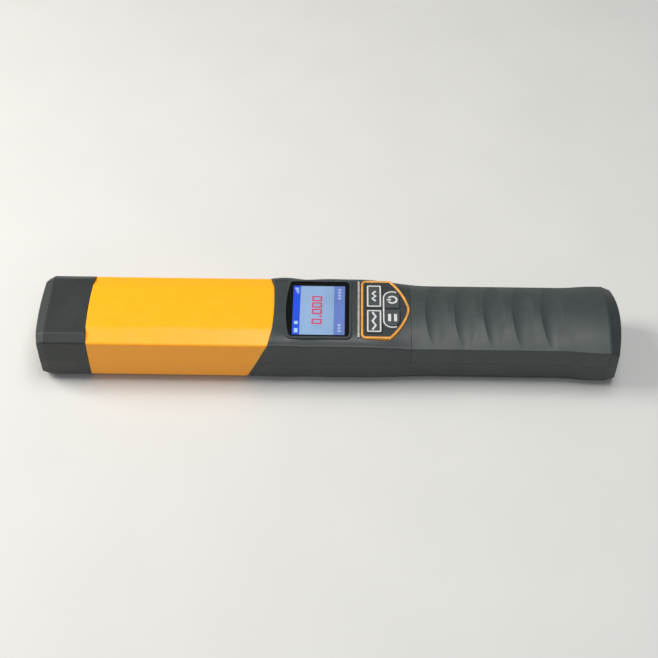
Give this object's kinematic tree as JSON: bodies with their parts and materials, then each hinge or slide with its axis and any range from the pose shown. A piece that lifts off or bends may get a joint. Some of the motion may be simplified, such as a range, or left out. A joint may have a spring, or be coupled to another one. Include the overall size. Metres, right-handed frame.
{
  "type": "circuit breaker finder",
  "caption": "Hand-held wand tester with a slotted nose, a bright sleeve, a colour screen with a shield-shaped keypad, and a scalloped soft grip.",
  "frame": {"origin": "under the middle of the wand, on the surface that it lies on", "axes": "+X along the wand towards the grip's end, +Z out of the screen's face"},
  "size_m": [0.313, 0.05, 0.0347],
  "materials": {
    "casing_black": "moulded, fine texture",
    "sleeve_yellow": "moulded, smooth",
    "grip_soft": "overmoulded, satin",
    "window_clear": "polished",
    "print_black": "printed",
    "screen": "lit",
    "holder_grey": "moulded",
    "trim_chrome": "plated",
    "border_orange": "moulded",
    "key_grey": "moulded",
    "board_green": "solder mask",
    "chip_black": "moulded",
    "steel": "plain",
    "nickel": "plated",
    "gasket_foam": "closed cell",
    "sensor_metal": "machined",
    "pump_white": "moulded",
    "hose_clear": "extruded",
    "ribbon": "laminated",
    "cell_wrap": "shrink film"
  },
  "bodies": {
    "housing": {"upper_shell": "casing_black", "lower_shell": "casing_black", "grip_skin": "grip_soft", "yellow_sleeve": "sleeve_yellow", "nose_cap": "casing_black", "intake_grille": "casing_black", "sampling_duct": "pump_white", "trim_bar": "trim_chrome", "main_board": "board_green", "board_chips": "chip_black", "buzzer": "chip_black", "screen_rim": "casing_black", "screen_window": "window_clear", "screen_mask": "print_black", "screen_gasket": "gasket_foam", "display_panel": "screen", "display_holder": "holder_grey", "keypad_border": "border_orange", "keypad_plate": "key_grey", "dome_up": "nickel", "dome_down": "nickel", "dome_power": "nickel", "dome_enter": "nickel", "shell_screws": "steel", "board_screws": "steel", "nose_cap_screws": "steel", "sensor_board": "board_green", "board_rails": "casing_black", "sensor_cell": "sensor_metal", "sample_pump": "pump_white", "pump_motor": "steel", "pump_hose": "hose_clear", "inlet_hose": "hose_clear", "sensor_ribbon": "ribbon", "battery_tray": "casing_black", "battery_cells": "cell_wrap", "battery_contacts": "nickel", "battery_springs": "nickel", "charge_socket": "chip_black", "charge_board": "board_green", "strap_bar": "steel"},
    "key_up": {"key_up": "key_grey"},
    "key_down": {"key_down": "key_grey"},
    "key_power": {"key_power": "key_grey"},
    "key_enter": {"key_enter": "key_grey"},
    "battery_door": {"battery_door": "casing_black"},
    "port_cover": {"port_cover": "grip_soft"}
  },
  "joints": [
    {"name": "key_up_press", "type": "slide", "parent": "housing", "child": "key_up", "axis": [0, 0, -1], "range_m": [0, 0.0006], "stiffness_N_per_m": 2500, "springref_m": -0.0004, "deforming": ["dome_up"]},
    {"name": "key_down_press", "type": "slide", "parent": "housing", "child": "key_down", "axis": [0, 0, -1], "range_m": [0, 0.0006], "stiffness_N_per_m": 2500, "springref_m": -0.0004, "deforming": ["dome_down"]},
    {"name": "key_power_press", "type": "slide", "parent": "housing", "child": "key_power", "axis": [0, 0, -1], "range_m": [0, 0.0006], "stiffness_N_per_m": 2500, "springref_m": -0.0004, "deforming": ["dome_power"]},
    {"name": "key_enter_press", "type": "slide", "parent": "housing", "child": "key_enter", "axis": [0, 0, -1], "range_m": [0, 0.0006], "stiffness_N_per_m": 2500, "springref_m": -0.0004, "deforming": ["dome_enter"]},
    {"name": "battery_door_hinge", "type": "hinge", "parent": "housing", "child": "battery_door", "pos_m": [0.0648, 0, 0.0037], "axis": [0, 1, 0], "range_deg": [0, 85]},
    {"name": "port_cover_hinge", "type": "hinge", "parent": "housing", "child": "port_cover", "pos_m": [0.15545, 0, 0.0158], "axis": [0, 1, 0], "range_deg": [0, 95]}
  ]
}
